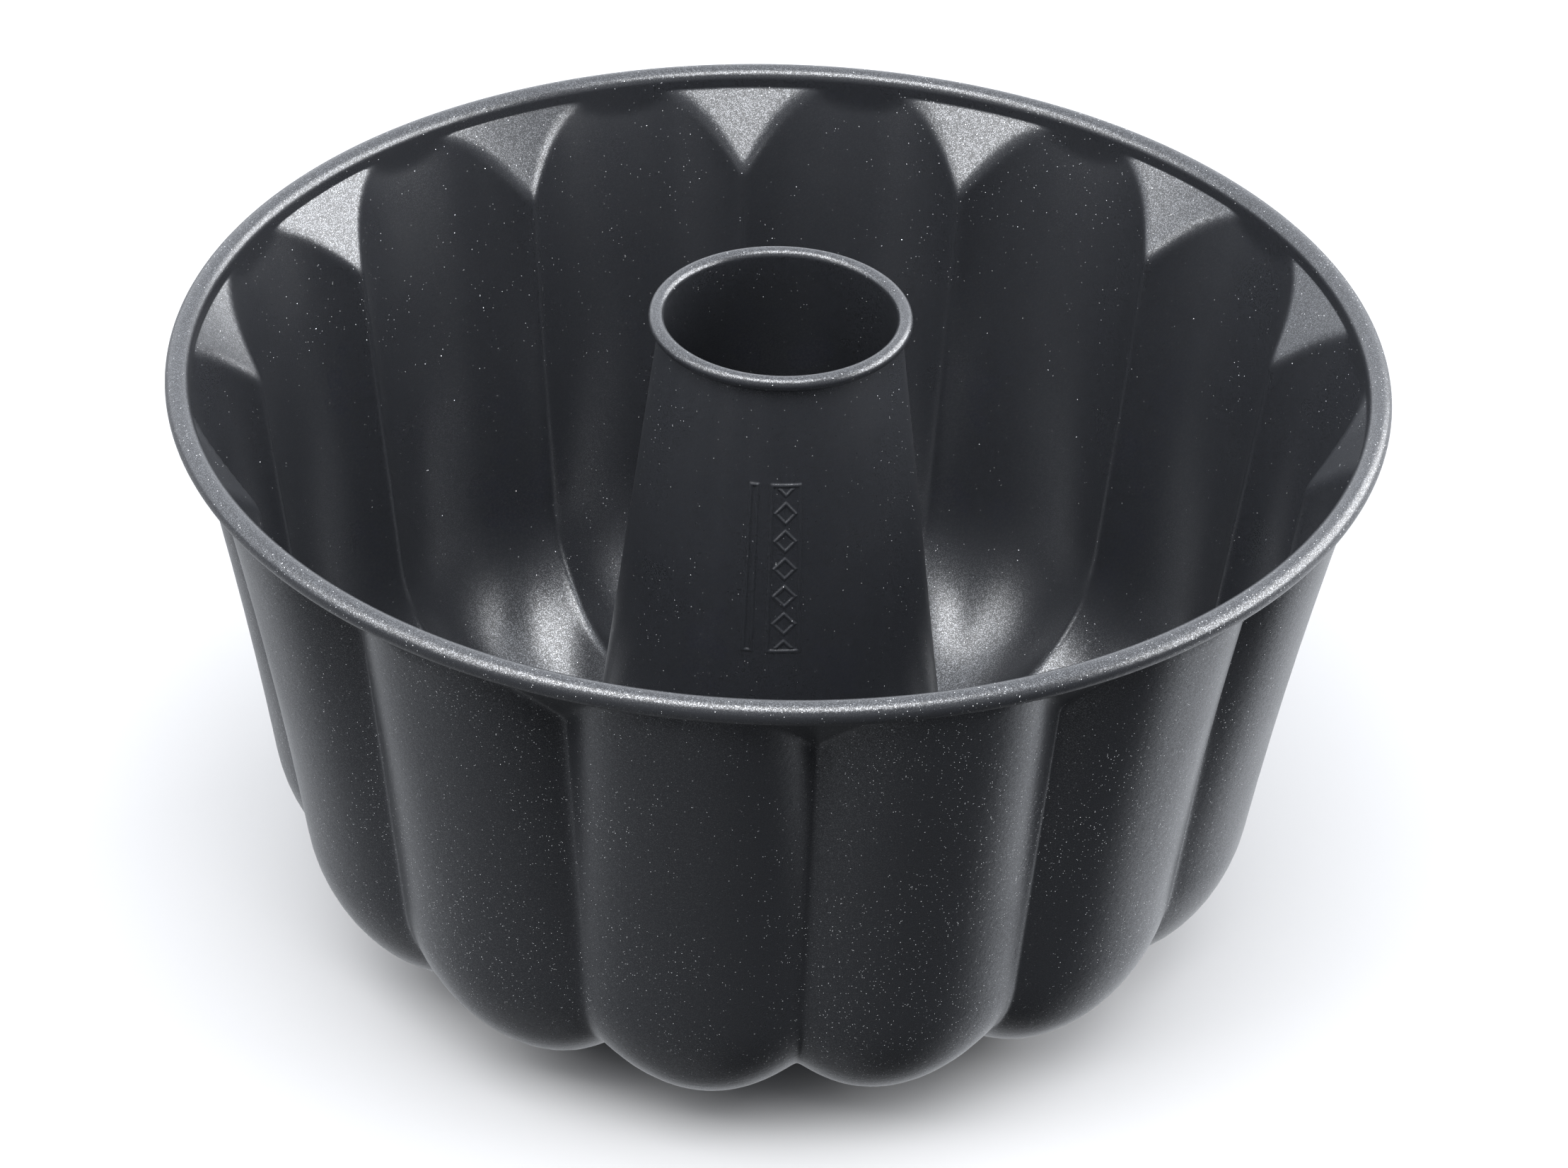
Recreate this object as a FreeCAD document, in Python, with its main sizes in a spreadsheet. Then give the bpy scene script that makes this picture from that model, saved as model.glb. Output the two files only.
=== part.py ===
import FreeCAD, Part
import math
import os
import Sketcher

# Fluted bundt pan with a centre tube.  Millimetres, +Z up, the origin at the middle of the
# plane the pan stands on.  A lobe is centred on +X and a crease between two lobes lies on -Y.

V = FreeCAD.Vector
Z_AXIS = V(0, 0, 1)
SEW_TOLERANCE = 0.002
DIFF_STEP = 1e-5
SLOPE_STEP = 1e-4
CENTRE_POINT = 3
NECK_ROWS, FLARE_ROWS, WALL_ROWS, BOTTOM_ROWS, FLOOR_ROWS = 6, 18, 7, 10, 8

DIMENSIONS = {
    "flute_count": 14,
    "sheet": 0.6,
    # rolled rim
    "rim_radius": 110.0,
    "rim_height": 114.5,
    "rim_bead_radius": 2.15,
    "rim_curl_end": -75.0,
    "wire_radius": 1.5,
    # underside skin of the wall, at the middle of a lobe and along a crease
    "neck_bottom": 113.2,
    "lobe_top_height": 109.2,
    "lobe_slope_top": 0.223,
    "lobe_slope_low": 0.143,
    "lobe_floor_arc": 41.0,
    "lobe_fullness_top": 2.7,
    "lobe_fullness_low": 2.05,
    "pad_depth": 0.15,
    "crease_tip_radius": 96.5,
    "crease_tip_height": 99.8,
    "crease_slope": 0.125,
    "crease_floor_height": 9.8,
    "crease_rounding": 0.045,
    "flare_slope": 0.76,
    "flare_rounding": 0.45,
    "neck_rounding": 0.3,
    # floor and the collar around the centre hole
    "land_radius": 40.0,
    "land_height": 7.0,
    "collar_inner_radius": 36.3,
    "collar_bend": 0.6,
    "collar_bottom": 2.3,
    # centre tube
    "tube_bead_ring_radius": 22.35,
    "tube_bead_height": 124.3,
    "tube_bead_radius": 1.38,
    "tube_curl_end": -80.0,
    "tube_slope": 0.122,
    "fold_clearance": 0.05,
    "fold_height": 2.2,
    "fold_leg_top": 5.6,
}


def make_sheet(doc):
    sheet = doc.addObject("Spreadsheet::Sheet", "dimensions")
    for row, (name, value) in enumerate(DIMENSIONS.items(), start=1):
        sheet.set("A%d" % row, name)
        sheet.set("B%d" % row, str(value))
        sheet.setAlias("B%d" % row, name)
    doc.recompute()
    return sheet


# ---------------------------------------------------------------- profiles (radius, height)


def polar(centre, radius, degrees):
    angle = math.radians(degrees)
    return (centre[0] + radius * math.cos(angle), centre[1] + radius * math.sin(angle))


def soft_max(first, second, width):
    near = max(width - abs(first - second), 0.0)
    return max(first, second) + near * near / (4.0 * width)


def soft_min(first, second, width):
    return -soft_max(-first, -second, width)


class FluteSkin:
    """Underside skin of one lobe: heights run from the neck under the rim, down the wall,
    around the lobe's bottom and in along the floor to the flat land by the centre hole."""

    def __init__(self, size):
        self.size = size
        self.half_turn = math.pi / size.flute_count
        self.neck_radius = size.rim_radius - 2.0 * size.rim_bead_radius + size.sheet
        self.lobe_floor = -size.pad_depth
        self.arc_top = self.lobe_floor
        self.arc_top += size.lobe_floor_arc * (1.0 - math.sin(math.atan(size.lobe_slope_low)))
        crease_rise = self.arc_top - size.crease_floor_height
        self.crease_arc_radius = crease_rise / (1.0 - math.sin(math.atan(size.crease_slope)))

    def lobe_radius(self, height):
        """The wall leans from lobe_slope_low above the bottom arc to lobe_slope_top."""
        size = self.size
        drop = size.lobe_top_height - height
        bend = size.lobe_slope_top - size.lobe_slope_low
        bend /= 2.0 * (size.lobe_top_height - self.arc_top)
        return self.neck_radius - drop * (size.lobe_slope_top - bend * drop)

    def crease_radius(self, height):
        size = self.size
        return size.crease_tip_radius - size.crease_slope * (size.crease_tip_height - height)

    def flare_radius(self, height):
        size = self.size
        return size.crease_tip_radius - size.flare_slope * (size.crease_tip_height - height)

    def weight(self, turn, height):
        """1 at the middle of the lobe (turn 0), 0 on the rounded crease (turn 1)."""
        size = self.size
        share = (height - self.arc_top) / (size.crease_tip_height - self.arc_top)
        share = min(max(share, 0.0), 1.0)
        fullness = size.lobe_fullness_low
        fullness += share * (size.lobe_fullness_top - size.lobe_fullness_low)
        soft = math.hypot(1.0 - abs(turn), size.crease_rounding) - size.crease_rounding
        soft /= math.hypot(1.0, size.crease_rounding) - size.crease_rounding
        return 1.0 - max(1.0 - soft, 0.0) ** fullness

    def wall(self, turn, height):
        size = self.size
        weight = self.weight(turn, height)
        crease = self.crease_radius(height)
        radius = crease + weight * (self.lobe_radius(height) - crease)
        radius = soft_max(radius, self.flare_radius(height), size.flare_rounding)
        return soft_min(radius, self.neck_radius, size.neck_rounding), height

    def bottom_arc(self, radius_at_top, slope, arc, floor, share):
        """Point on the arc that turns the wall into the floor, and the arc's centre radius."""
        lean = math.degrees(math.atan(slope))
        centre = (radius_at_top - arc * math.cos(math.radians(lean)), floor + arc)
        return polar(centre, arc, -lean - share * (90.0 - lean)), centre[0]

    def lobe_arc(self, share):
        size = self.size
        top = self.lobe_radius(self.arc_top)
        return self.bottom_arc(
            top, size.lobe_slope_low, size.lobe_floor_arc, self.lobe_floor, share)

    def crease_arc(self, share):
        size = self.size
        top = self.crease_radius(self.arc_top)
        return self.bottom_arc(
            top, size.crease_slope, self.crease_arc_radius, size.crease_floor_height, share)

    def floor_point(self, start, share):
        size = self.size
        ease = 0.5 - 0.5 * math.cos(math.pi * share)
        return (
            start[0] + share * (size.land_radius - start[0]),
            start[1] + ease * (size.land_height - start[1]))

    def section_point(self, turn, station):
        """Stations 0 to 1 run down the wall, 1 to 2 around the bottom, 2 to 3 along the floor."""
        if station <= 1.0:
            span = self.size.neck_bottom - self.arc_top
            return self.wall(turn, self.size.neck_bottom - station * span)
        if station <= 2.0:
            lobe = self.lobe_arc(station - 1.0)[0]
            crease = self.crease_arc(station - 1.0)[0]
        else:
            lobe_start = (self.lobe_arc(1.0)[1], self.lobe_floor)
            lobe = self.floor_point(lobe_start, station - 2.0)
            crease_start = (self.crease_arc(1.0)[1], self.size.crease_floor_height)
            crease = self.floor_point(crease_start, station - 2.0)
        weight = self.weight(turn, self.arc_top)
        return tuple(c + weight * (l - c) for c, l in zip(crease, lobe))

    def point(self, turn, station):
        radius, height = self.section_point(turn, station)
        angle = turn * self.half_turn
        return V(radius * math.cos(angle), radius * math.sin(angle), height)

    def offset_point(self, turn, station, depth):
        """Point on the cake side, one sheet thickness in from the underside skin."""
        if depth == 0.0:
            return self.point(turn, station)
        low, high = max(turn - DIFF_STEP, -1.0), min(turn + DIFF_STEP, 1.0)
        across = self.point(high, station) - self.point(low, station)
        low, high = max(station - DIFF_STEP, 0.0), min(station + DIFF_STEP, 3.0)
        along = self.point(turn, high) - self.point(turn, low)
        inward = across.cross(along).normalize()
        if turn in (-1.0, 1.0):
            inward = self.in_section_plane(inward, turn)
        if station == 3.0:
            inward = Z_AXIS
        return self.point(turn, station) + inward * depth

    def in_section_plane(self, direction, turn):
        """A crease lies in a plane through the axis, and so does its normal."""
        angle = turn * self.half_turn
        sideways = V(-math.sin(angle), math.cos(angle), 0)
        return (direction - sideways * direction.dot(sideways)).normalize()


def spaced(start, end, steps):
    return [start + (end - start) * index / steps for index in range(steps + 1)]


def skin_stations(skin):
    """Rows are close together around the neck's bend and where the flare meets the lobes."""
    size = skin.size
    span = size.neck_bottom - skin.arc_top
    neck_end = 4.0 * size.neck_rounding / span
    flare_end = (size.neck_bottom - size.crease_tip_height + 4.0) / span
    rows = spaced(0.0, neck_end, NECK_ROWS)
    rows += spaced(neck_end, flare_end, FLARE_ROWS)[1:]
    rows += spaced(flare_end, 1.0, WALL_ROWS)[1:]
    rows += spaced(1.0, 2.0, BOTTOM_ROWS)[1:]
    return rows + spaced(2.0, 3.0, FLOOR_ROWS)[1:]


def skin_turns():
    """Columns are close together beside the creases."""
    positive = spaced(0.0, 0.64, 8)
    positive += spaced(0.64, 0.88, 5)[1:]
    positive += spaced(0.88, 1.0, 6)[1:]
    return [-turn for turn in reversed(positive[1:])] + positive


def station_length(skin, station):
    """Running length that a station stands for, so the surface's rows are evenly scaled."""
    wall = skin.size.neck_bottom - skin.arc_top
    arc = skin.size.lobe_floor_arc * 1.35
    floor = skin.lobe_arc(1.0)[1] - skin.size.land_radius
    lengths = (wall, arc, floor)
    whole = min(int(station), 2)
    return sum(lengths[:whole]) + (station - whole) * lengths[whole]


def spline_poles(values, knots, start_slope, end_slope):
    """Poles of the clamped cubic spline through values at knots, with given end slopes."""
    count = len(values)
    full = [knots[0]] * 3 + list(knots) + [knots[-1]] * 3
    poles = [None] * (count + 2)
    poles[0] = values[0]
    poles[1] = values[0] + start_slope * ((knots[1] - knots[0]) / 3.0)
    poles[count + 1] = values[-1]
    poles[count] = values[-1] - end_slope * ((knots[-1] - knots[-2]) / 3.0)
    factors, rests = [0.0], [poles[1]]
    for index in range(1, count - 1):
        a, b, c, d, e = full[index + 1:index + 6]
        before = (d - c) ** 2 / ((d - b) * (d - a))
        after = (c - b) ** 2 / ((d - b) * (e - b))
        middle = 1.0 - before - after
        pivot = middle - before * factors[-1]
        rests.append((values[index] - rests[-1] * before) * (1.0 / pivot))
        factors.append(after / pivot)
    for index in range(count - 2, 0, -1):
        poles[index + 1] = rests[index] - poles[index + 2] * factors[index]
    return poles


def slope_of(function, parameter, low, high):
    """Derivative of a point-valued function, one-sided at the ends of its range."""
    start, end = max(parameter - SLOPE_STEP, low), min(parameter + SLOPE_STEP, high)
    return (function(end) - function(start)) * (1.0 / (end - start))


def skin_face(skin, depth):
    stations, turns = skin_stations(skin), skin_turns()
    lengths = [station_length(skin, station) for station in stations]

    def row_poles(row):
        return spline_poles(
            [row(turn) for turn in turns], turns,
            slope_of(row, -1.0, -1.0, 1.0), slope_of(row, 1.0, -1.0, 1.0))

    def row_at(station):
        return row_poles(lambda turn: skin.offset_point(turn, station, depth))

    def row_slope(near, far):
        scale = 1.0 / (station_length(skin, far) - station_length(skin, near))
        return [(b - a) * scale for a, b in zip(row_at(near), row_at(far))]

    rows = [row_at(station) for station in stations]
    first_slopes = row_slope(0.0, SLOPE_STEP)
    last_slopes = row_slope(3.0 - SLOPE_STEP, 3.0)
    poles = [
        spline_poles(list(column), lengths, first, last)
        for column, first, last in zip(zip(*rows), first_slopes, last_slopes)]
    surface = Part.BSplineSurface()
    turn_counts = [4] + [1] * (len(turns) - 2) + [4]
    length_counts = [4] + [1] * (len(lengths) - 2) + [4]
    surface.buildFromPolesMultsKnots(
        poles, turn_counts, length_counts, turns, lengths, False, False, 3, 3)
    return surface.toShape()


def arc_edge(centre, radius, start, end):
    points = [polar(centre, radius, a) for a in (start, 0.5 * (start + end), end)]
    return Part.Arc(*[V(p[0], 0, p[1]) for p in points]).toShape()


def line_edge(first, second):
    return Part.makeLine(V(first[0], 0, first[1]), V(second[0], 0, second[1]))


def rim_edges(size, skin):
    """Open chain from the underside neck, around the curl, to the cake-side neck."""
    centre = (size.rim_radius - size.rim_bead_radius, size.rim_height)
    wire_side = size.rim_bead_radius - size.sheet
    cake_side = skin.neck_radius - size.sheet
    end = size.rim_curl_end
    return [
        line_edge((skin.neck_radius, size.neck_bottom), (skin.neck_radius, size.rim_height)),
        arc_edge(centre, wire_side, 180.0, end),
        line_edge(polar(centre, wire_side, end), polar(centre, size.rim_bead_radius, end)),
        arc_edge(centre, size.rim_bead_radius, end, 180.0),
        line_edge((cake_side, size.rim_height), (cake_side, size.neck_bottom)),
    ]


def collar_edges(size):
    """Open chain from the cake-side land, down the collar, back to the underside land."""
    bend_centre = (size.collar_inner_radius + size.sheet + size.collar_bend,
                   size.land_height - size.collar_bend)
    inner, outer = size.collar_inner_radius, size.collar_inner_radius + size.sheet
    bottom = size.collar_bottom
    top = size.land_height + size.sheet
    return [
        line_edge((size.land_radius, top), (bend_centre[0], top)),
        arc_edge(bend_centre, size.collar_bend + size.sheet, 90.0, 180.0),
        line_edge((inner, bend_centre[1]), (inner, bottom)),
        line_edge((inner, bottom), (outer, bottom)),
        line_edge((outer, bottom), (outer, bend_centre[1])),
        arc_edge(bend_centre, size.collar_bend, 180.0, 90.0),
        line_edge((bend_centre[0], size.land_height), (size.land_radius, size.land_height)),
    ]


def sector_faces(size, skin):
    turn = 360.0 / size.flute_count
    faces = [skin_face(skin, 0.0), skin_face(skin, size.sheet)]
    for edge in rim_edges(size, skin) + collar_edges(size):
        edge.rotate(V(0, 0, 0), Z_AXIS, -0.5 * turn)
        faces.extend(edge.revolve(V(0, 0, 0), Z_AXIS, turn).Faces)
    return faces


def fluted_shell_solid(size):
    sector = Part.Compound(sector_faces(size, FluteSkin(size)))
    sectors = []
    for index in range(int(size.flute_count)):
        turned = sector.copy()
        turned.rotate(V(0, 0, 0), Z_AXIS, 360.0 / size.flute_count * index)
        sectors.extend(turned.Faces)
    sewn = Part.Compound(sectors)
    sewn.sewShape()
    solid = Part.Solid(sewn.Shells[0])
    solid.fix(SEW_TOLERANCE, SEW_TOLERANCE, SEW_TOLERANCE)
    below = Part.makeCylinder(size.rim_radius, size.sheet, V(0, 0, -size.sheet))
    return solid.cut(below).Solids[0]


class Sizes:
    def __init__(self, sheet):
        for name in DIMENSIONS:
            setattr(self, name, float(sheet.get(name)))


# ---------------------------------------------------------------- sub-parts


def make_fluted_shell(doc, size):
    shell = doc.addObject("Part::Feature", "fluted_shell")
    shell.Shape = fluted_shell_solid(size)
    shell.Placement = FreeCAD.Placement()
    shell.Label = "fluted_shell"
    return shell


def make_rim_wire(doc):
    wire = doc.addObject("Part::Torus", "rim_wire")
    wire.setExpression("Radius1", "dimensions.rim_radius - dimensions.rim_bead_radius")
    wire.setExpression("Radius2", "dimensions.wire_radius")
    wire.setExpression("Placement.Base.z", "dimensions.rim_height")
    wire.Label = "rim_wire"
    return wire


def section_sketch(body):
    """Sketch on the body's XZ plane, whose own x is the radius and own y the height."""
    plane = next(f for f in body.Origin.OriginFeatures if f.Role == "XZ_Plane")
    sketch = body.newObject("Sketcher::SketchObject", body.Name + "_section")
    sketch.AttachmentSupport = [(plane, "")]
    sketch.MapMode = "FlatFace"
    return sketch


def tube_corners(size):
    """Corners of the tube's section, in order around it, as (radius, height)."""
    bead = (size.tube_bead_ring_radius, size.tube_bead_height)
    hollow = size.tube_bead_radius - size.sheet
    lean = math.degrees(math.atan(size.tube_slope))
    inner_leg = size.collar_inner_radius - size.fold_clearance
    outer_leg = size.collar_inner_radius + size.sheet + size.fold_clearance
    wall_top = polar(bead, hollow, 180.0 + lean)
    knee = wall_top[1] - (inner_leg - wall_top[0]) / size.tube_slope
    inside_knee = knee + size.sheet * math.tan(math.radians(0.5 * lean))
    return {
        "inside_top": polar(bead, size.tube_bead_radius, 180.0 + lean),
        "inside_knee": (inner_leg - size.sheet, inside_knee),
        "inside_foot": (inner_leg - size.sheet, size.fold_height),
        "leg_foot": (outer_leg + size.sheet, size.fold_height),
        "leg_top": (outer_leg + size.sheet, size.fold_leg_top),
        "leg_top_inner": (outer_leg, size.fold_leg_top),
        "leg_foot_inner": (outer_leg, size.fold_height),
        "outside_foot": (inner_leg, size.fold_height),
        "outside_knee": (inner_leg, knee),
        "outside_top": wall_top,
        "curl_end_inner": polar(bead, hollow, size.tube_curl_end),
        "curl_end": polar(bead, size.tube_bead_radius, size.tube_curl_end),
    }


def tube_corner_expressions():
    """The same corners in terms of the sheet's cells."""
    cell = "dimensions."
    ring, top = cell + "tube_bead_ring_radius", cell + "tube_bead_height"
    sheet, curl, lean = cell + "sheet", cell + "tube_curl_end", "atan(dimensions.tube_slope)"
    bead, hollow = cell + "tube_bead_radius", "(dimensions.tube_bead_radius - dimensions.sheet)"
    inner_leg = "(dimensions.collar_inner_radius - dimensions.fold_clearance)"
    outer_leg = "(dimensions.collar_inner_radius + dimensions.sheet + dimensions.fold_clearance)"
    foot, leg_top = cell + "fold_height", cell + "fold_leg_top"
    wall_x = "(%s - %s * cos(%s))" % (ring, hollow, lean)
    wall_y = "(%s - %s * sin(%s))" % (top, hollow, lean)
    knee = "(%s - (%s - %s) / dimensions.tube_slope)" % (wall_y, inner_leg, wall_x)
    return {
        "inside_top": ("%s - %s * cos(%s)" % (ring, bead, lean),
                       "%s - %s * sin(%s)" % (top, bead, lean)),
        "inside_knee": (inner_leg + " - " + sheet, "%s + %s * tan(0.5 * %s)" % (knee, sheet, lean)),
        "inside_foot": (inner_leg + " - " + sheet, foot),
        "leg_foot": (outer_leg + " + " + sheet, foot),
        "leg_top": (outer_leg + " + " + sheet, leg_top),
        "leg_top_inner": (outer_leg, leg_top),
        "leg_foot_inner": (outer_leg, foot),
        "outside_foot": (inner_leg, foot),
        "outside_knee": (inner_leg, knee),
        "outside_top": (wall_x, wall_y),
        "curl_end_inner": ("%s + %s * cos(%s)" % (ring, hollow, curl),
                           "%s + %s * sin(%s)" % (top, hollow, curl)),
        "curl_end": ("%s + %s * cos(%s)" % (ring, bead, curl),
                     "%s + %s * sin(%s)" % (top, bead, curl)),
    }


def tube_arcs(size):
    """Arcs of the section by the corner they start from: centre, start and end angle."""
    lean = math.degrees(math.atan(size.tube_slope))
    bead = (size.tube_bead_ring_radius, size.tube_bead_height)
    fold = (size.collar_inner_radius + 0.5 * size.sheet, size.fold_height)
    return {
        "inside_foot": (fold, 180.0, 360.0),
        "leg_foot_inner": (fold, 360.0, 180.0),
        "outside_top": (bead, 180.0 + lean, size.tube_curl_end),
        "curl_end": (bead, size.tube_curl_end, 180.0 + lean),
    }


def bind(sketch, kind, geometry, position, name, value, expression):
    """Dimension from the sketch's origin to a point, driven by the sheet."""
    index = sketch.addConstraint(
        Sketcher.Constraint(kind, -1, 1, geometry, position, value))
    sketch.renameConstraint(index, name)
    sketch.setExpression("Constraints." + name, expression)


def add_section_curve(sketch, first, second, arc):
    """Add a line, or an arc run anticlockwise; return its point numbers at the two corners."""
    if arc is None:
        sketch.addGeometry(
            Part.LineSegment(V(first[0], first[1], 0), V(second[0], second[1], 0)), False)
        return 1, 2
    centre, start, end = arc
    circle = Part.Circle(V(centre[0], centre[1], 0), Z_AXIS,
                         math.hypot(first[0] - centre[0], first[1] - centre[1]))
    low, high = math.radians(min(start, end)), math.radians(max(start, end))
    sketch.addGeometry(Part.ArcOfCircle(circle, low, high), False)
    return (1, 2) if start < end else (2, 1)


def draw_tube_section(sketch, size):
    """Sheet-steel section: cone, curl around the top edge, and the foot folded up outside."""
    corners, arcs, expressions = tube_corners(size), tube_arcs(size), tube_corner_expressions()
    names = list(corners)
    following = names[1:] + names[:1]
    ends = [add_section_curve(sketch, corners[name], corners[after], arcs.get(name))
            for name, after in zip(names, following)]
    for index, name in enumerate(names):
        before = (index - 1) % len(names)
        start = ends[index][0]
        sketch.addConstraint(
            Sketcher.Constraint("Coincident", before, ends[before][1], index, start))
        bind(sketch, "DistanceX", index, start, name + "_radius",
             corners[name][0], expressions[name][0])
        bind(sketch, "DistanceY", index, start, name + "_height",
             corners[name][1], expressions[name][1])
    for name in ("inside_foot", "leg_foot_inner"):
        bind(sketch, "DistanceY", names.index(name), CENTRE_POINT, name + "_centre_height",
             size.fold_height, "dimensions.fold_height")
    for name in ("outside_top", "curl_end"):
        bind(sketch, "DistanceX", names.index(name), CENTRE_POINT, name + "_centre_radius",
             size.tube_bead_ring_radius, "dimensions.tube_bead_ring_radius")


def make_center_tube(doc, size):
    body = doc.addObject("PartDesign::Body", "center_tube")
    sketch = section_sketch(body)
    draw_tube_section(sketch, size)
    doc.recompute()
    turned = body.newObject("PartDesign::Revolution", "center_tube_revolution")
    turned.Profile = sketch
    turned.ReferenceAxis = (sketch, ["V_Axis"])
    turned.Angle = 360.0
    body.Tip = turned
    body.Label = "center_tube"
    return body


def checked(doc, parts):
    bad = [o.Name for o in doc.Objects if "Invalid" in o.State or "Error" in o.State]
    bad += [part.Name for part in parts if part.Shape.isNull() or not part.Shape.isValid()]
    if bad:
        raise ValueError("not built: " + ", ".join(bad))


def main():
    doc = FreeCAD.newDocument("bundt_pan")
    size = Sizes(make_sheet(doc))
    parts = [make_fluted_shell(doc, size), make_rim_wire(doc), make_center_tube(doc, size)]
    doc.recompute()
    checked(doc, parts)
    os.makedirs("parts", exist_ok=True)
    for part in parts:
        part.Shape.exportStep("parts/%s.step" % part.Label)
        print(part.Label, part.Shape.ShapeType, round(part.Shape.Volume, 1), part.Shape.BoundBox)


main()
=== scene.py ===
import math

import bpy
import numpy as np
from mathutils import Matrix, Vector


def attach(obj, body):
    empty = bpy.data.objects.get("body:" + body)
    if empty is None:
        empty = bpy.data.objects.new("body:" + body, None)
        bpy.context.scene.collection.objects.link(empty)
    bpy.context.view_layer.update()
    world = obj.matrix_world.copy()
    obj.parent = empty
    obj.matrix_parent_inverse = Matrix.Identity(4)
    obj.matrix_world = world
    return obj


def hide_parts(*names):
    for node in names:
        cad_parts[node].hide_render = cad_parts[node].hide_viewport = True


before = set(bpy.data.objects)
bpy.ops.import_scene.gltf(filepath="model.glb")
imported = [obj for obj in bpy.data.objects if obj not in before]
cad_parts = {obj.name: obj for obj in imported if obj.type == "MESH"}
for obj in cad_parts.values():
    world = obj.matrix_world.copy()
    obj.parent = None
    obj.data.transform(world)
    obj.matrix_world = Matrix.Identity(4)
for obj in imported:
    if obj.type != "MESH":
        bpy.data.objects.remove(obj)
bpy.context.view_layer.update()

MM = 0.001

# ------------------------------------------------------------------ sizes of the pan, millimetres
# The crease's tip, the land and the tube's bead are given as (radius, height). Slopes are the
# change of radius per millimetre of height.
FLUTES = 14
SHEET = 0.6
RIM_RADIUS = 110.0
RIM_HEIGHT = 114.5
RIM_BEAD = 2.15
RIM_CURL_END = -75.0
NECK_RADIUS = RIM_RADIUS - 2.0 * RIM_BEAD + SHEET
NECK_BOTTOM = 113.2
LOBE_TOP_HEIGHT = 109.2
LOBE_SLOPE_TOP = 0.223
LOBE_SLOPE_LOW = 0.143
LOBE_ARC = 41.0
LOBE_FULLNESS_TOP = 2.7
LOBE_FULLNESS_LOW = 2.05
LOBE_FLOOR = -0.15
CREASE_TIP = (96.5, 99.8)
CREASE_SLOPE = 0.125
CREASE_FLOOR = 9.8
CREASE_ROUNDING = 0.035
FLARE_SLOPE = 0.76
FLARE_ROUNDING = 0.28
FLARE_TIP_ROUNDING = 1.1
NECK_ROUNDING = 0.3
NECK_BAND = 1.3
FLARE_MARGIN = 2.0
LAND = (40.0, 7.0)
COLLAR_RADIUS = 36.3
COLLAR_BEND = 0.6
COLLAR_BOTTOM = 2.3
TUBE_BEAD = (22.35, 124.3)
TUBE_BEAD_RADIUS = 1.38
TUBE_CURL_END = -80.0
TUBE_SLOPE = 0.122
FOLD_GAP = 0.05
FOLD_HEIGHT = 2.2
FOLD_LEG_TOP = 5.6

# Relief on the tube, in millimetres around and up the tube from its own middle. The bar is given
# as (place, half width). Lines are half widths of the raised lines.
RELIEF_AZIMUTH = math.radians(-90.5)
RELIEF_HEIGHT = 87.5
RELIEF_RADIUS = 28.2
RELIEF_RISE = 0.2
RELIEF_SPAN = (-8.0, 3.6)
RELIEF_MARGIN = 0.6
RELIEF_HALF_LENGTH = 16.5
RELIEF_FRAME_HALF = 2.9
RELIEF_BAR = (-6.6, 0.7)
LOZENGE_HALF = 2.0
LOZENGE_PITCH = 5.5
LOZENGE_ROW_HALF = 15.9
FRAME_LINE = 0.45
LOZENGE_LINE = 0.5
BAR_LINE = 0.4
LINE_SLOPE = 0.65

# Steps of the meshes. The tube's middle run of rows and its first columns cross the relief.
LOBE_STEPS = 34
WALL_ROWS = (8, 32, 7)
BOTTOM_ROWS = 19
FLOOR_ROWS = 10
TUBE_COLUMNS = (79, 181)
TUBE_ROWS = (22, 225, 10)

HALF_TURN = math.pi / FLUTES
ARC_TOP = LOBE_FLOOR + LOBE_ARC * (1.0 - math.sin(math.atan(LOBE_SLOPE_LOW)))
CREASE_ARC = (ARC_TOP - CREASE_FLOOR) / (1.0 - math.sin(math.atan(CREASE_SLOPE)))


# ------------------------------------------------------------------ fluted sheet
def lobe_radius(height):
    """The wall leans from LOBE_SLOPE_LOW above the bottom arc to LOBE_SLOPE_TOP."""
    drop = LOBE_TOP_HEIGHT - height
    bend = (LOBE_SLOPE_TOP - LOBE_SLOPE_LOW) / (2.0 * (LOBE_TOP_HEIGHT - ARC_TOP))
    return NECK_RADIUS - drop * (LOBE_SLOPE_TOP - bend * drop)


def crease_radius(height):
    return CREASE_TIP[0] - CREASE_SLOPE * (CREASE_TIP[1] - height)


def flare_radius(height):
    return CREASE_TIP[0] - FLARE_SLOPE * (CREASE_TIP[1] - height)


def soft_max(first, second, width):
    near = np.maximum(width - np.abs(first - second), 0.0)
    return np.maximum(first, second) + near * near / (4.0 * width)


def lobe_weight(turn, height):
    """1 at the middle of a lobe (turn 0), 0 on the rounded crease (turn 1 or -1)."""
    share = np.clip((height - ARC_TOP) / (CREASE_TIP[1] - ARC_TOP), 0.0, 1.0)
    fullness = LOBE_FULLNESS_LOW + share * (LOBE_FULLNESS_TOP - LOBE_FULLNESS_LOW)
    soft = np.hypot(1.0 - np.abs(turn), CREASE_ROUNDING) - CREASE_ROUNDING
    soft = soft / (math.hypot(1.0, CREASE_ROUNDING) - CREASE_ROUNDING)
    return 1.0 - np.maximum(1.0 - soft, 0.0) ** fullness


def bottom_arc(top_radius, slope, arc, floor, share):
    lean = math.atan(slope)
    centre = top_radius - arc * math.cos(lean)
    angle = -lean - share * (0.5 * math.pi - lean)
    return centre + arc * np.cos(angle), floor + arc + arc * np.sin(angle), centre


def floor_line(start_radius, start_height, share):
    ease = 0.5 - 0.5 * np.cos(math.pi * share)
    return (start_radius + share * (LAND[0] - start_radius),
            start_height + ease * (LAND[1] - start_height))


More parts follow.
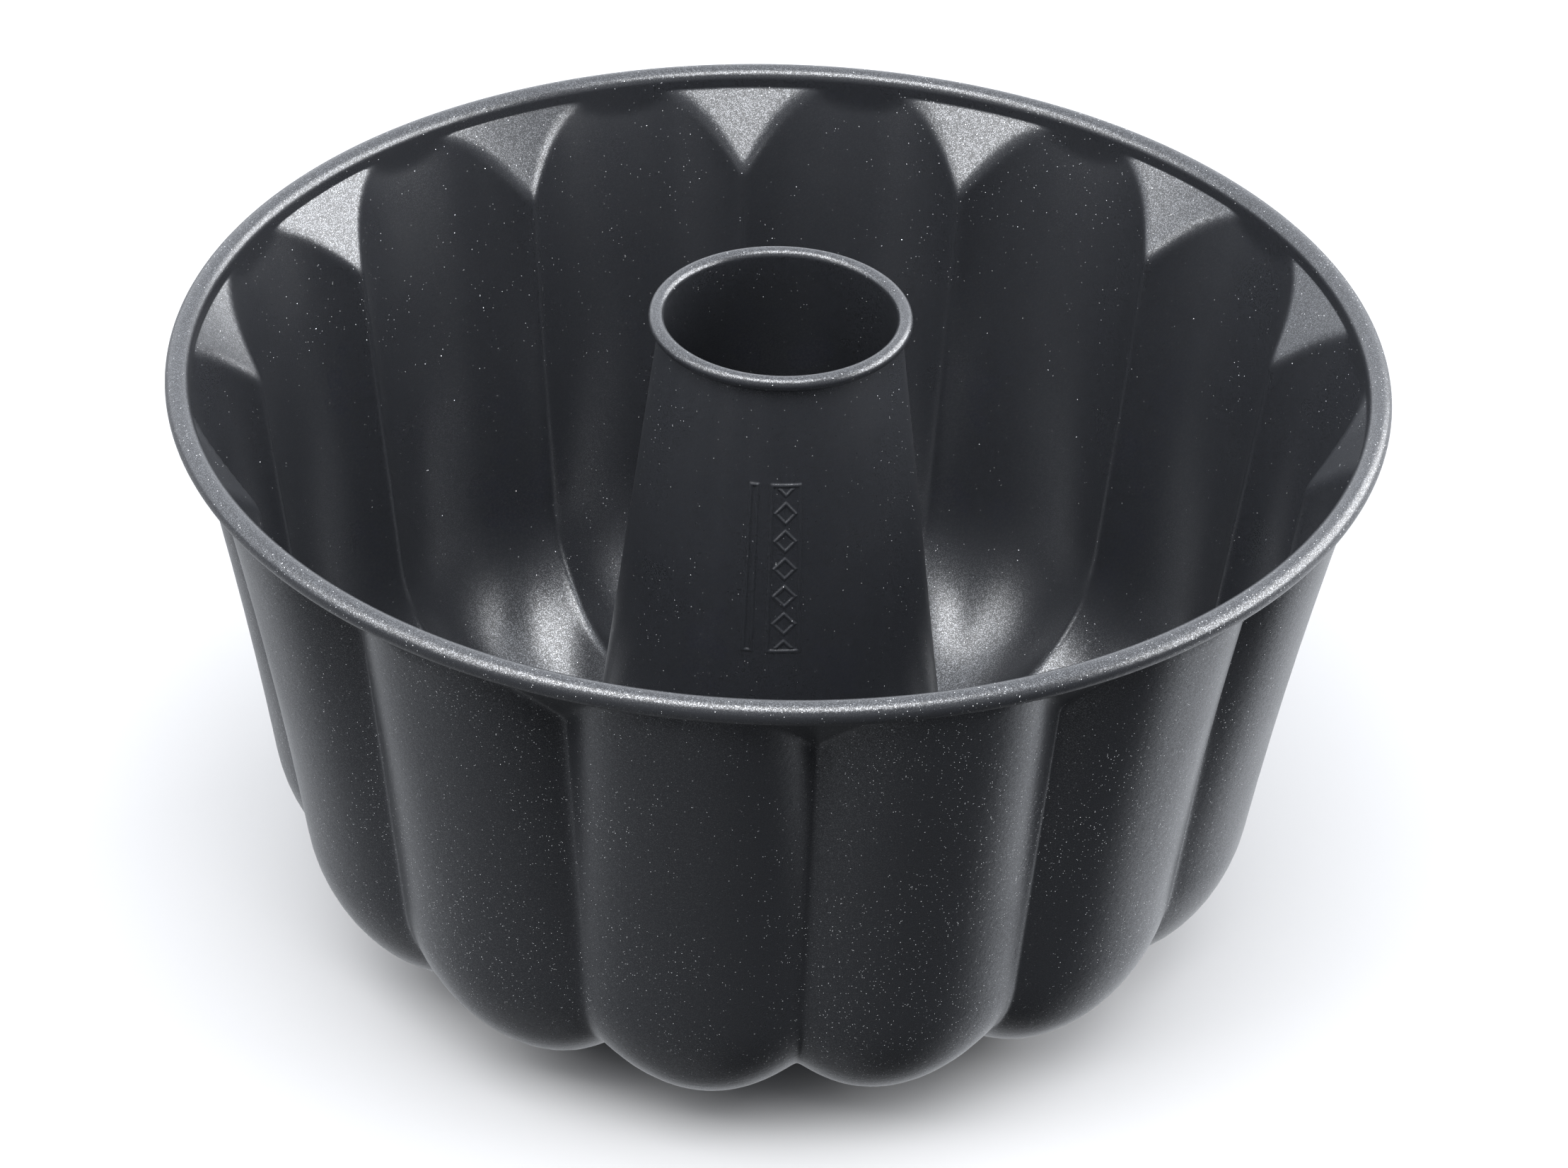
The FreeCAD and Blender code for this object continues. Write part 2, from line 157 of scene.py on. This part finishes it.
def skin_section(turn, station):
    """Radius and height of the underside skin. Stations 0 to 1 run down the wall, 1 to 2 around
    the bottom and 2 to 3 along the floor."""
    height = NECK_BOTTOM - np.clip(station, 0, 1) * (NECK_BOTTOM - ARC_TOP)
    weight = lobe_weight(turn, height)
    crease = crease_radius(height)
    radius = crease + weight * (lobe_radius(height) - crease)
    rounding = FLARE_ROUNDING + (FLARE_TIP_ROUNDING - FLARE_ROUNDING) * np.abs(turn) ** 6
    radius = soft_max(radius, flare_radius(height), rounding)
    radius = -soft_max(-radius, -NECK_RADIUS, NECK_ROUNDING)
    share = np.clip(station - 1.0, 0, 1)
    lobe_r, lobe_z, lobe_c = bottom_arc(
        lobe_radius(ARC_TOP), LOBE_SLOPE_LOW, LOBE_ARC, LOBE_FLOOR, share)
    crease_r, crease_z, crease_c = bottom_arc(
        crease_radius(ARC_TOP), CREASE_SLOPE, CREASE_ARC, CREASE_FLOOR, share)
    inner = np.clip(station - 2.0, 0, 1)
    lobe_fr, lobe_fz = floor_line(lobe_c, LOBE_FLOOR, inner)
    crease_fr, crease_fz = floor_line(crease_c, CREASE_FLOOR, inner)
    lobe_r, lobe_z = np.where(station > 2, lobe_fr, lobe_r), np.where(station > 2, lobe_fz, lobe_z)
    crease_r = np.where(station > 2, crease_fr, crease_r)
    crease_z = np.where(station > 2, crease_fz, crease_z)
    low_r = crease_r + weight * (lobe_r - crease_r)
    low_z = crease_z + weight * (lobe_z - crease_z)
    return np.where(station > 1, low_r, radius), np.where(station > 1, low_z, height)


def skin_point(turn, station):
    radius, height = skin_section(turn, station)
    angle = turn * HALF_TURN
    return np.stack([radius * np.cos(angle), radius * np.sin(angle), height + 0.0 * turn], -1)


def skin_inside(turn, station):
    """Unit vector from the underside skin towards the cake side."""
    step = 1e-4
    low, high = np.maximum(station - step, 0.0), np.minimum(station + step, 3.0)
    along = skin_point(turn, high) - skin_point(turn, low)
    across = skin_point(turn + step, station) - skin_point(turn - step, station)
    inward = np.cross(across, along)
    return inward / np.linalg.norm(inward, axis=-1, keepdims=True)


def lobe_turns(steps):
    """Evenly spread over the lobe, closer together towards the crease."""
    even = np.linspace(-1.0, 1.0, steps + 1)
    return 0.3 * even + 0.7 * np.sin(0.5 * math.pi * even)


def skin_stations():
    """Rows are close together around the neck's bend and where the flare meets the lobes."""
    span = NECK_BOTTOM - ARC_TOP
    neck, flare = NECK_BAND / span, (NECK_BOTTOM - CREASE_TIP[1] + FLARE_MARGIN) / span
    neck_rows, flare_rows, lobe_rows = WALL_ROWS
    return np.concatenate([
        np.linspace(0.0, neck, neck_rows),
        np.linspace(neck, flare, flare_rows)[1:],
        np.linspace(flare, 1.0, lobe_rows)[1:],
        np.linspace(1.0, 2.0, BOTTOM_ROWS)[1:],
        np.linspace(2.0, 3.0, FLOOR_ROWS)[1:]])


def arc_points(centre, radius, start, end, steps):
    angles = np.radians(np.linspace(start, end, steps + 1))
    return np.stack([centre[0] + radius * np.cos(angles), centre[1] + radius * np.sin(angles)], -1)


def rim_section():
    """Radius and height from the underside neck, inside the curl, around its end and back."""
    centre = (RIM_RADIUS - RIM_BEAD, RIM_HEIGHT)
    inner = arc_points(centre, RIM_BEAD - SHEET, 180.0, RIM_CURL_END, 12)
    middle = RIM_BEAD - 0.5 * SHEET
    tip = math.radians(RIM_CURL_END)
    lip_centre = (centre[0] + middle * math.cos(tip), centre[1] + middle * math.sin(tip))
    lip = arc_points(lip_centre, 0.5 * SHEET, RIM_CURL_END - 180.0, RIM_CURL_END - 360.0, 6)[1:-1]
    outer = arc_points(centre, RIM_BEAD, RIM_CURL_END, 180.0, 28)
    return np.concatenate([inner, lip, outer])


def collar_section():
    """Radius and height from the underside land, down the collar and back up to the cake side."""
    bend = (COLLAR_RADIUS + SHEET + COLLAR_BEND, LAND[1] - COLLAR_BEND)
    under = arc_points(bend, COLLAR_BEND, 90.0, 180.0, 4)
    upper = arc_points(bend, COLLAR_BEND + SHEET, 180.0, 90.0, 5)
    outer, inner = COLLAR_RADIUS + SHEET, COLLAR_RADIUS
    bottom = np.array([[outer, COLLAR_BOTTOM + 0.05], [outer - 0.05, COLLAR_BOTTOM],
                       [inner + 0.05, COLLAR_BOTTOM], [inner, COLLAR_BOTTOM + 0.05]])
    return np.concatenate([under, bottom, upper])


def turned_rows(section, angles):
    radius, height = section[:, 0][None, :], section[:, 1][None, :]
    angle = angles[:, None]
    return np.stack([radius * np.cos(angle), radius * np.sin(angle), height + 0.0 * angle], -1)


def closed_mesh(name, grid):
    """Mesh from a grid of points that closes on itself both ways, its faces turned outward."""
    columns, rows = grid.shape[:2]
    index = np.arange(columns * rows).reshape(columns, rows)
    right, down = np.roll(index, -1, 0), np.roll(index, -1, 1)
    corner = np.roll(right, -1, 1)
    quads = np.stack([index, down, corner, right], -1).reshape(-1, 4)
    mesh = bpy.data.meshes.new(name)
    mesh.from_pydata((grid.reshape(-1, 3) * MM).tolist(), [], quads.tolist())
    mesh.validate()
    if signed_volume(grid.reshape(-1, 3), quads) < 0:
        mesh.flip_normals()
    mesh.polygons.foreach_set("use_smooth", np.ones(len(mesh.polygons), bool))
    obj = bpy.data.objects.new(name, mesh)
    bpy.context.scene.collection.objects.link(obj)
    return obj


def signed_volume(points, quads):
    a, b, c, d = (points[quads[:, i]] for i in range(4))
    return float(np.einsum("ij,ij->", a, np.cross(b, c) + np.cross(c, d)) / 6.0)


def make_shell():
    turns = lobe_turns(LOBE_STEPS)[:-1]
    stations = skin_stations()
    turn_grid, station_grid = np.meshgrid(turns, stations, indexing="ij")
    under = skin_point(turn_grid, station_grid)
    inside = under + SHEET * skin_inside(turn_grid, station_grid)
    under[..., 2] = np.maximum(under[..., 2], 0.0)
    angles = turns * HALF_TURN
    inside[:, -1] = turned_rows(np.array([[LAND[0], LAND[1] + SHEET]]), angles)[:, 0]
    inside[:, 0] = turned_rows(np.array([[NECK_RADIUS - SHEET, NECK_BOTTOM]]), angles)[:, 0]
    lobe = np.concatenate([
        under, turned_rows(collar_section(), angles), inside[:, ::-1],
        turned_rows(rim_section()[::-1], angles)], 1)
    lobes = []
    for index in range(FLUTES):
        angle = 2.0 * math.pi * index / FLUTES
        spin = np.array([[math.cos(angle), -math.sin(angle), 0.0],
                         [math.sin(angle), math.cos(angle), 0.0], [0.0, 0.0, 1.0]])
        lobes.append(lobe @ spin.T)
    return closed_mesh("coated_shell", np.concatenate(lobes))


# ------------------------------------------------------------------ centre tube
def ridge(distance, half_width):
    """1 along the line where the distance is zero, falling smoothly to 0 at its half width."""
    share = np.clip((half_width - np.abs(distance)) / (LINE_SLOPE * half_width), 0.0, 1.0)
    return share * share * (3.0 - 2.0 * share)


def box_distance(across, along, half_across, half_along):
    return np.maximum(np.abs(across) - half_across, np.abs(along) - half_along)


def relief_rise(across, along):
    """Plain pressed pattern: a long frame filled with lozenges, beside a narrow bar. Lengths are
    millimetres around and up the tube."""
    edge = ridge(box_distance(across, along, RELIEF_FRAME_HALF, RELIEF_HALF_LENGTH), FRAME_LINE)
    step = np.abs(along - LOZENGE_PITCH * np.round(along / LOZENGE_PITCH))
    lozenges = ridge(np.abs(across) + step - LOZENGE_HALF, LOZENGE_LINE)
    lozenges = np.where(np.abs(along) < LOZENGE_ROW_HALF, lozenges, 0.0)
    bar_place, bar_half = RELIEF_BAR
    bar = ridge(box_distance(across - bar_place, along, bar_half, RELIEF_HALF_LENGTH), BAR_LINE)
    return RELIEF_RISE * np.maximum(np.maximum(edge, lozenges), bar)


def tube_angles():
    """Once around the tube, close together across the relief."""
    start, end = (RELIEF_AZIMUTH + edge / RELIEF_RADIUS for edge in RELIEF_SPAN)
    across_relief, around_rest = TUBE_COLUMNS
    return np.concatenate([np.linspace(start, end, across_relief)[:-1],
                           np.linspace(end, start + 2.0 * math.pi, around_rest)[:-1]])


def tube_heights(low, high):
    """Rows of the tube's outside from low to high, close together across the relief."""
    reach = RELIEF_HALF_LENGTH + RELIEF_MARGIN
    start, end = RELIEF_HEIGHT - reach, RELIEF_HEIGHT + reach
    below, beside, above = TUBE_ROWS
    return np.concatenate([np.linspace(low, start, below)[:-1],
                           np.linspace(start, end, beside)[:-1],
                           np.linspace(end, high, above)])


def tube_sections():
    """Radius and height along the tube in three runs: its inside and folded foot, its outside
    and its curled top."""
    lean = math.degrees(math.atan(TUBE_SLOPE))
    hollow = TUBE_BEAD_RADIUS - SHEET
    side = 180.0 + lean
    inner_leg = COLLAR_RADIUS - FOLD_GAP
    outer_leg = COLLAR_RADIUS + SHEET + FOLD_GAP
    fold = (0.5 * (inner_leg + outer_leg), FOLD_HEIGHT)
    fold_hollow = 0.5 * (outer_leg - inner_leg)
    top = arc_points(TUBE_BEAD, hollow, side, side, 1)[0]
    knee = top[1] - (inner_leg - top[0]) / TUBE_SLOPE
    inner_knee = knee + SHEET * math.tan(math.radians(0.5 * lean))
    tip = math.radians(TUBE_CURL_END)
    middle = TUBE_BEAD_RADIUS - 0.5 * SHEET
    lip_centre = (TUBE_BEAD[0] + middle * math.cos(tip), TUBE_BEAD[1] + middle * math.sin(tip))
    inner_top = arc_points(TUBE_BEAD, TUBE_BEAD_RADIUS, side, side, 1)[0]
    foot = np.concatenate([
        np.linspace(inner_top, (inner_leg - SHEET, inner_knee), 24)[1:],
        arc_points(fold, fold_hollow + SHEET, 180.0, 360.0, 12),
        arc_points((outer_leg + 0.5 * SHEET, FOLD_LEG_TOP - 0.5 * SHEET), 0.5 * SHEET,
                   0.0, 180.0, 6),
        arc_points(fold, fold_hollow, 360.0, 180.0, 8)])
    heights = tube_heights(knee, top[1])[:-1]
    outside = np.stack([top[0] + (top[1] - heights) * TUBE_SLOPE, heights], -1)
    curl = np.concatenate([
        arc_points(TUBE_BEAD, hollow, side, TUBE_CURL_END, 10),
        arc_points(lip_centre, 0.5 * SHEET, TUBE_CURL_END - 180.0, TUBE_CURL_END - 360.0, 5)[1:-1],
        arc_points(TUBE_BEAD, TUBE_BEAD_RADIUS, TUBE_CURL_END, side, 26)])
    return foot, outside, curl


def make_tube():
    foot, outside, curl = tube_sections()
    angles = tube_angles()
    across = RELIEF_RADIUS * (angles - RELIEF_AZIMUTH)[:, None]
    rise = relief_rise(across, outside[None, :, 1] - RELIEF_HEIGHT)
    wall = turned_rows(outside, angles)
    wall[..., :2] *= (1.0 + rise / outside[None, :, 0])[..., None]
    rows = [turned_rows(foot, angles), wall, turned_rows(curl, angles)]
    return closed_mesh("coated_tube", np.concatenate(rows, 1))


# ------------------------------------------------------------------ materials
COAT_COLOUR = (0.022, 0.0235, 0.0275, 1.0)
COAT_ROUGHNESS = (0.26, 0.34)
COAT_IOR = 1.6
PEEL_DEPTH = (0.02, 0.065)
GLINT_SHARE = (0.0015, 0.004)
SPECK_SHARE = (0.004, 0.018)
SPECK_FACTOR = (0.3, 1.25)


def new_material(name):
    material = bpy.data.materials.new(name)
    material.use_nodes = True
    tree = material.node_tree
    tree.nodes.clear()
    return material, tree


def node(tree, kind, inputs=None, **settings):
    made = tree.nodes.new(kind)
    for key, value in settings.items():
        setattr(made, key, value)
    for key, value in (inputs or {}).items():
        if isinstance(value, bpy.types.NodeSocket):
            tree.links.new(value, made.inputs[key])
        else:
            made.inputs[key].default_value = value
    return made


def maths(tree, operation, first, second):
    return node(tree, "ShaderNodeMath", {0: first, 1: second}, operation=operation).outputs[0]


def between(tree, value, low, high, smooth=False):
    """Map the value from the range low to the range high."""
    return node(tree, "ShaderNodeMapRange", {
        "Value": value, "From Min": low[0], "From Max": low[1], "To Min": high[0],
        "To Max": high[1]},
        interpolation_type="SMOOTHSTEP" if smooth else "LINEAR").outputs["Result"]


def flake_layer(tree, place, scale, share, tilt, radius):
    """Mask and tilted normal of metal flakes: round spots in a share of the cells."""
    cells = node(tree, "ShaderNodeTexVoronoi", {"Vector": place, "Scale": scale})
    parts = node(tree, "ShaderNodeSeparateColor", {"Color": cells.outputs["Color"]})
    spot = maths(tree, "LESS_THAN", cells.outputs["Distance"], radius)
    chosen = maths(tree, "MULTIPLY", maths(tree, "LESS_THAN", parts.outputs[0], share), spot)
    other = node(tree, "ShaderNodeTexWhiteNoise", {"Vector": cells.outputs["Position"]})
    lean = node(tree, "ShaderNodeVectorMath", {0: other.outputs["Color"], 1: (0.5, 0.5, 0.5)},
                operation="SUBTRACT")
    lean = node(tree, "ShaderNodeVectorMath", {0: lean.outputs[0], "Scale": tilt},
                operation="SCALE")
    geometry = node(tree, "ShaderNodeNewGeometry")
    tilted = node(tree, "ShaderNodeVectorMath", {0: geometry.outputs["Normal"], 1: lean.outputs[0]})
    tilted = node(tree, "ShaderNodeVectorMath", {0: tilted.outputs[0]}, operation="NORMALIZE")
    return chosen, tilted.outputs[0]


def shell_outside(tree, place):
    """1 on the shell's faces turned away from the pan's axis, 0 on its cake side and the tube."""
    flat = node(tree, "ShaderNodeVectorMath", {0: place, 1: (1.0, 1.0, 0.0)},
                operation="MULTIPLY")
    outward = node(tree, "ShaderNodeVectorMath", {0: flat.outputs[0]}, operation="NORMALIZE")
    normal = node(tree, "ShaderNodeNewGeometry").outputs["Normal"]
    side = node(tree, "ShaderNodeVectorMath", {0: normal, 1: outward.outputs[0]},
                operation="DOT_PRODUCT")
    turned = between(tree, side.outputs["Value"], (-0.2, 0.2), (0.0, 1.0), smooth=True)
    radius = node(tree, "ShaderNodeVectorMath", {0: flat.outputs[0]}, operation="LENGTH")
    beyond_tube = between(tree, radius.outputs["Value"], (0.04, 0.06), (0.0, 1.0))
    return maths(tree, "MULTIPLY", turned, beyond_tube)


def coated_sheet():
    """Dark coating with orange peel, fine metal flakes, tilted glints and sparse light specks."""
    material, tree = new_material("coated_sheet")
    place = node(tree, "ShaderNodeTexCoord").outputs["Object"]
    peel = node(tree, "ShaderNodeTexNoise", {
        "Vector": place, "Scale": 900.0, "Detail": 3.0, "Roughness": 0.55})
    outside = shell_outside(tree, place)
    depth = between(tree, outside, (0.0, 1.0), PEEL_DEPTH)
    bump = node(tree, "ShaderNodeBump", {
        "Height": maths(tree, "MULTIPLY", peel.outputs["Fac"], depth), "Strength": 1.0,
        "Distance": 0.001})
    blotch = node(tree, "ShaderNodeTexNoise", {"Vector": place, "Scale": 60.0, "Detail": 2.0})
    rough = between(tree, blotch.outputs["Fac"], (0.3, 0.7), COAT_ROUGHNESS)
    base = node(tree, "ShaderNodeBsdfPrincipled", {
        "Base Color": COAT_COLOUR, "Roughness": rough, "IOR": COAT_IOR,
        "Normal": bump.outputs["Normal"]})
    shader = base.outputs[0]
    patches = node(tree, "ShaderNodeTexNoise", {"Vector": place, "Scale": 28.0, "Detail": 1.0})
    specks = between(tree, patches.outputs["Fac"], (0.4, 0.65), SPECK_SHARE, smooth=True)
    specks = maths(tree, "MULTIPLY", specks, between(tree, outside, (0.0, 1.0), SPECK_FACTOR))
    glints = between(tree, outside, (0.0, 1.0), GLINT_SHARE)
    for scale, share, tilt, radius, tone, metallic, roughness in (
            (9000.0, 0.25, 0.06, 2.0, (0.20, 0.205, 0.215, 1.0), 1.0, 0.30),
            (9000.0, glints, 0.9, 2.0, (0.48, 0.49, 0.51, 1.0), 1.0, 0.16),
            (5500.0, specks, 0.5, 0.42, (0.9, 0.91, 0.93, 1.0), 0.3, 0.42)):
        chosen, tilted = flake_layer(tree, place, scale, share, tilt, radius)
        flake = node(tree, "ShaderNodeBsdfPrincipled", {
            "Base Color": tone, "Metallic": metallic, "Roughness": roughness, "Normal": tilted})
        shader = node(tree, "ShaderNodeMixShader", {
            0: chosen, 1: shader, 2: flake.outputs[0]}).outputs[0]
    node(tree, "ShaderNodeOutputMaterial", {"Surface": shader})
    return material


def wire_steel():
    material, tree = new_material("rim_wire_steel")
    place = node(tree, "ShaderNodeTexCoord").outputs["Object"]
    grain = node(tree, "ShaderNodeTexNoise", {"Vector": place, "Scale": 500.0, "Detail": 4.0})
    rough = between(tree, grain.outputs["Fac"], (0.0, 1.0), (0.25, 0.5))
    steel = node(tree, "ShaderNodeBsdfPrincipled", {
        "Base Color": (0.45, 0.45, 0.46, 1.0), "Metallic": 1.0, "Roughness": rough})
    node(tree, "ShaderNodeOutputMaterial", {"Surface": steel.outputs[0]})
    return material


def paint(obj, material):
    obj.data.materials.clear()
    obj.data.materials.append(material)


# ------------------------------------------------------------------ studio
FLOOR_GLOW = (0.30, 1.2)
FLOOR_FRONT = (0.24, 0.05)
DOME_STRENGTH = (0.35, 1.8)
FLOOR_HALF = 6.0
SOFTBOX_DISTANCE = 1.3
SOFTBOX_AIM = (0.0, 0.0, 0.06)
SOFT_WHITE = (0.92, 0.95, 1.0, 1.0)


def aim(obj, target):
    direction = Vector(target) - obj.location
    obj.rotation_mode = "QUATERNION"
    obj.rotation_quaternion = direction.to_track_quat("-Z", "Y")


def softbox(name, azimuth, elevation, size, power):
    light = bpy.data.lights.new(name, "AREA")
    light.shape = "RECTANGLE"
    light.size, light.size_y = size
    light.energy = power
    obj = bpy.data.objects.new(name, light)
    a, e = math.radians(azimuth), math.radians(elevation)
    obj.location = Vector((math.cos(a) * math.cos(e), math.sin(a) * math.cos(e),
                           math.sin(e))) * SOFTBOX_DISTANCE
    bpy.context.scene.collection.objects.link(obj)
    aim(obj, SOFTBOX_AIM)
    return obj


def floor_light(tree):
    """Brightness of the floor in reflections: it rises where a reflection runs away from the
    camera, more so on the camera's right, and fades where it runs straight down."""
    incoming = node(tree, "ShaderNodeNewGeometry").outputs["Incoming"]
    flat = node(tree, "ShaderNodeVectorMath", {0: incoming, 1: (-1.0, -1.0, 0.0)},
                operation="MULTIPLY")
    reach = node(tree, "ShaderNodeVectorMath", {0: flat.outputs[0]}, operation="LENGTH")
    flat = node(tree, "ShaderNodeVectorMath", {0: flat.outputs[0]}, operation="NORMALIZE")
    turn = math.radians(CAMERA_AZIMUTH + 90.0)
    axes = {"right": (math.cos(turn), math.sin(turn), 0.0),
            "behind": (-math.sin(turn), math.cos(turn), 0.0)}
    share = {name: node(tree, "ShaderNodeVectorMath", {0: flat.outputs[0], 1: axis},
                        operation="DOT_PRODUCT").outputs["Value"]
             for name, axis in axes.items()}
    behind = between(tree, share["behind"], (-0.4, 0.5), (0.0, 1.0), smooth=True)
    outward = between(tree, reach.outputs["Value"], (0.25, 0.75), (0.0, 1.0), smooth=True)
    glow = maths(tree, "MULTIPLY", maths(tree, "MULTIPLY", behind, outward),
                 between(tree, share["right"], (-1.0, 1.0), FLOOR_GLOW))
    return maths(tree, "ADD", glow, between(tree, share["right"], (-1.0, 1.0), FLOOR_FRONT))


def make_floor():
    mesh = bpy.data.meshes.new("studio_floor")
    half = FLOOR_HALF
    mesh.from_pydata([(-half, -half, 0), (half, -half, 0), (half, half, 0), (-half, half, 0)],
                     [], [(0, 1, 2, 3)])
    floor = bpy.data.objects.new("studio_floor", mesh)
    bpy.context.scene.collection.objects.link(floor)
    material, tree = new_material("studio_floor")
    seen = node(tree, "ShaderNodeBsdfDiffuse", {"Color": (0.5, 0.5, 0.505, 1.0)})
    reflected = node(tree, "ShaderNodeEmission", {
        "Color": SOFT_WHITE, "Strength": floor_light(tree)})
    path = node(tree, "ShaderNodeLightPath")
    surface = node(tree, "ShaderNodeMixShader", {
        0: path.outputs["Is Camera Ray"], 1: reflected.outputs[0], 2: seen.outputs[0]})
    node(tree, "ShaderNodeOutputMaterial", {"Surface": surface.outputs[0]})
    paint(floor, material)
    return floor


def dome_light(tree):
    """Strength of the surrounding light: dim low down on the camera's side of the room."""
    way = node(tree, "ShaderNodeTexCoord").outputs["Generated"]
    height = node(tree, "ShaderNodeSeparateXYZ", {"Vector": way}).outputs["Z"]
    azimuth = math.radians(CAMERA_AZIMUTH)
    front = node(tree, "ShaderNodeVectorMath", {
        0: way, 1: (math.cos(azimuth), math.sin(azimuth), 0.0)}, operation="DOT_PRODUCT")
    high = between(tree, height, (0.55, 0.85), (0.0, 1.0), smooth=True)
    away = between(tree, front.outputs["Value"], (0.0, 0.5), (1.0, 0.0), smooth=True)
    return between(tree, maths(tree, "MAXIMUM", high, away), (0.0, 1.0), DOME_STRENGTH)


def make_world():
    world = bpy.data.worlds.new("studio")
    bpy.context.scene.world = world
    world.use_nodes = True
    tree = world.node_tree
    tree.nodes.clear()
    path = node(tree, "ShaderNodeLightPath")
    seen = node(tree, "ShaderNodeBackground", {"Color": (0.92, 0.92, 0.93, 1.0), "Strength": 1.0})
    room = node(tree, "ShaderNodeBackground", {"Color": SOFT_WHITE, "Strength": dome_light(tree)})
    mix = node(tree, "ShaderNodeMixShader", {
        0: path.outputs["Is Camera Ray"], 1: room.outputs[0], 2: seen.outputs[0]})
    node(tree, "ShaderNodeOutputWorld", {"Surface": mix.outputs[0]})


CAMERA_AZIMUTH = -95.0
CAMERA_ELEVATION = 34.2
CAMERA_ROLL = 1.7
CAMERA_DISTANCE = 0.9746
CAMERA_TARGET = (2.0, 0.0, 66.65)
FOCAL_LENGTH = 120.8825
SENSOR_WIDTH = 36.0


def make_camera():
    data = bpy.data.cameras.new("camera")
    data.sensor_fit = "HORIZONTAL"
    data.sensor_width = SENSOR_WIDTH
    data.lens = FOCAL_LENGTH
    data.clip_start, data.clip_end = 0.01, 50.0
    camera = bpy.data.objects.new("camera", data)
    bpy.context.scene.collection.objects.link(camera)
    turn = Matrix.Rotation(math.radians(CAMERA_AZIMUTH + 90.0), 3, "Z")
    e, roll = math.radians(CAMERA_ELEVATION), math.radians(CAMERA_ROLL)
    back = turn @ Vector((0.0, -math.cos(e), math.sin(e)))
    right = turn @ Vector((1.0, 0.0, 0.0))
    up = back.cross(right)
    right, up = (math.cos(roll) * right + math.sin(roll) * up,
                 math.cos(roll) * up - math.sin(roll) * right)
    place = turn @ (Vector(CAMERA_TARGET) * MM) + back * CAMERA_DISTANCE
    matrix = Matrix((right, up, back)).transposed().to_4x4()
    matrix.translation = place
    camera.matrix_world = matrix
    bpy.context.scene.camera = camera


# ------------------------------------------------------------------ assembly
coating = coated_sheet()
for piece, cad_node in ((make_shell(), "fluted_shell"), (make_tube(), "center_tube")):
    paint(piece, coating)
    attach(piece, "root")
    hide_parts(cad_node)
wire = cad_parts["rim_wire"]
paint(wire, wire_steel())

floor = make_floor()
lights = [
    softbox("softbox_front_top", -110.0, 65.0, (1.3, 0.65), 17.0),
    softbox("softbox_right", 5.0, 25.0, (1.8, 0.85), 24.0),
    softbox("softbox_left", -161.0, 38.0, (0.9, 0.75), 7.3),
]
make_world()
make_camera()
bpy.context.scene.view_settings.view_transform = "Standard"
